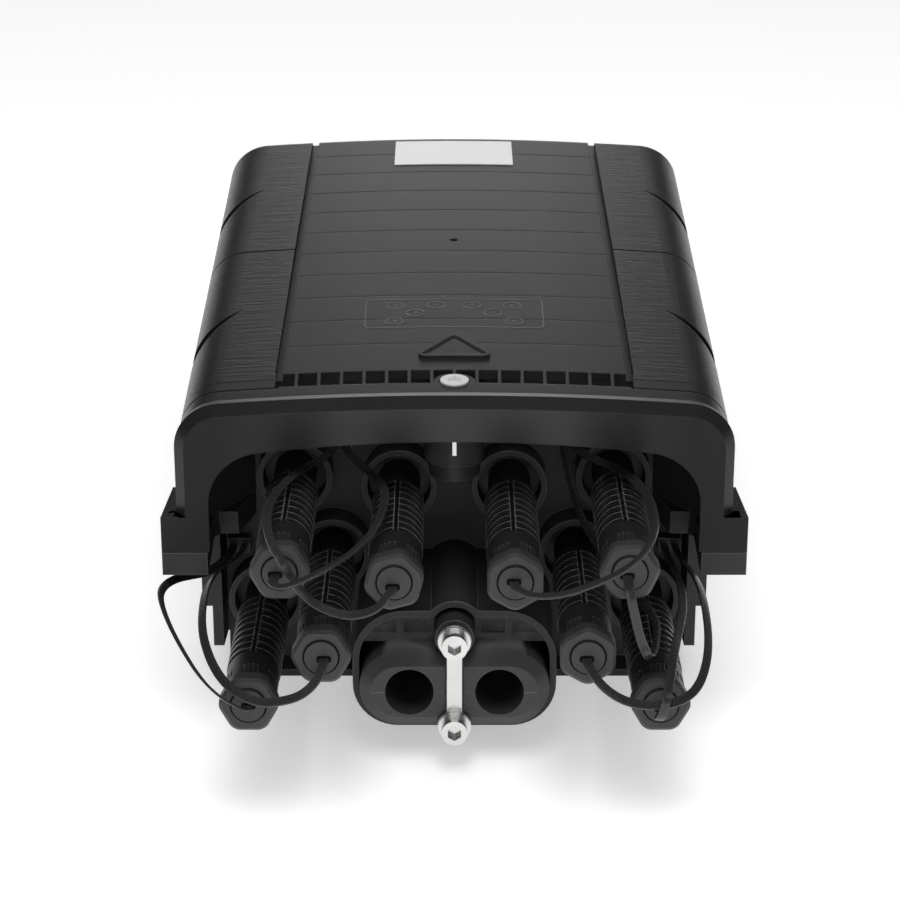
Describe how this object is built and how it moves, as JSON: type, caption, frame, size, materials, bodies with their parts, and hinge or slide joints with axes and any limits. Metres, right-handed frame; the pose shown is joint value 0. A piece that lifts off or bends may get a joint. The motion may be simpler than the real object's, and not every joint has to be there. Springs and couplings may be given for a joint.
{
  "type": "fibre distribution hub box",
  "caption": "Black moulded fibre distribution hub box with a hinged hooded cover, ribbed drop ports under tethered bayonet caps, and a clamped oval gland for feeder cables.",
  "frame": {"origin": "middle of the flat mounting face of the base", "axes": "+X to the right of someone who faces the ports, +Y from the ports to the hinges, +Z from the mounting face to the cover"},
  "size_m": [0.2268, 0.4256, 0.14],
  "materials": {
    "case_plastic": "fine moulded grain",
    "port_plastic": "satin",
    "cap_plastic": "satin",
    "tether_plastic": "soft satin",
    "gland_rubber": "matt",
    "seal_rubber": "matt",
    "label": "smooth film",
    "bright_steel": "bright zinc",
    "brass": "turned",
    "sheet_aluminium": "plain sheet",
    "tray_plastic": "satin",
    "splitter_body": "satin"
  },
  "bodies": {
    "case": {"base_shell": "case_plastic", "bolt_insert": "brass", "cover_gasket": "seal_rubber", "hinge_pins": "bright_steel", "port_adapter_1": "port_plastic", "port_adapter_2": "port_plastic", "port_adapter_3": "port_plastic", "port_adapter_4": "port_plastic", "port_adapter_5": "port_plastic", "port_adapter_6": "port_plastic", "port_adapter_7": "port_plastic", "port_adapter_8": "port_plastic", "tether_discs": "tether_plastic", "tether_anchors": "tether_plastic", "tether_1": "tether_plastic", "tether_2": "tether_plastic", "tether_3": "tether_plastic", "tether_4": "tether_plastic", "tether_5": "tether_plastic", "tether_6": "tether_plastic", "tether_7": "tether_plastic", "tether_8": "tether_plastic", "adapter_seals": "seal_rubber", "adapter_nuts": "port_plastic", "gland_upper_half": "gland_rubber", "gland_lower_half": "gland_rubber", "clamp_bridge": "bright_steel", "clamp_bolts": "bright_steel", "clamp_washers": "bright_steel", "tray_frame": "sheet_aluminium", "splice_tray_lower": "tray_plastic", "splice_tray_upper": "tray_plastic", "splitter_module": "splitter_body", "feeder_clamp": "tray_plastic", "feeder_clamp_screw": "bright_steel"},
    "cover": {"cover_shell": "case_plastic", "label_plate": "label"},
    "cover_bolt": {"cover_bolt": "bright_steel", "bolt_circlip": "bright_steel"},
    "cap_1": {"dust_cap_1": "cap_plastic"},
    "cap_2": {"dust_cap_2": "cap_plastic"},
    "cap_3": {"dust_cap_3": "cap_plastic"},
    "cap_4": {"dust_cap_4": "cap_plastic"},
    "cap_5": {"dust_cap_5": "cap_plastic"},
    "cap_6": {"dust_cap_6": "cap_plastic"},
    "cap_7": {"dust_cap_7": "cap_plastic"},
    "cap_8": {"dust_cap_8": "cap_plastic"}
  },
  "joints": [
    {"name": "cover_hinge", "type": "hinge", "parent": "case", "child": "cover", "pos_m": [0, 0.17, 0.074], "axis": [-1, 0, 0], "range_deg": [0, 100]},
    {"name": "cover_bolt_lift", "type": "slide", "parent": "cover", "child": "cover_bolt", "axis": [0, 0, 1], "range_m": [0, 0.01]},
    {"name": "cap_1_turn", "type": "hinge", "parent": "case", "child": "cap_1", "pos_m": [-0.0635, -0.20443, 0.09535], "axis": [0, -0.9938, 0.1115], "range_deg": [0, 90]},
    {"name": "cap_2_turn", "type": "hinge", "parent": "case", "child": "cap_2", "pos_m": [-0.022, -0.20485, 0.09165], "axis": [0, -0.9938, 0.1115], "range_deg": [0, 90]},
    {"name": "cap_3_turn", "type": "hinge", "parent": "case", "child": "cap_3", "pos_m": [-0.0488, -0.20808, 0.06285], "axis": [0, -0.9938, 0.1115], "range_deg": [0, 90]},
    {"name": "cap_4_turn", "type": "hinge", "parent": "case", "child": "cap_4", "pos_m": [-0.0758, -0.2102, 0.04395], "axis": [0, -0.9938, 0.1115], "range_deg": [0, 90]},
    {"name": "cap_5_turn", "type": "hinge", "parent": "case", "child": "cap_5", "pos_m": [0.022, -0.20485, 0.09165], "axis": [0, -0.9938, 0.1115], "range_deg": [0, 90]},
    {"name": "cap_6_turn", "type": "hinge", "parent": "case", "child": "cap_6", "pos_m": [0.0635, -0.20443, 0.09535], "axis": [0, -0.9938, 0.1115], "range_deg": [0, 90]},
    {"name": "cap_7_turn", "type": "hinge", "parent": "case", "child": "cap_7", "pos_m": [0.0488, -0.20808, 0.06285], "axis": [0, -0.9938, 0.1115], "range_deg": [0, 90]},
    {"name": "cap_8_turn", "type": "hinge", "parent": "case", "child": "cap_8", "pos_m": [0.0758, -0.2102, 0.04395], "axis": [0, -0.9938, 0.1115], "range_deg": [0, 90]}
  ]
}
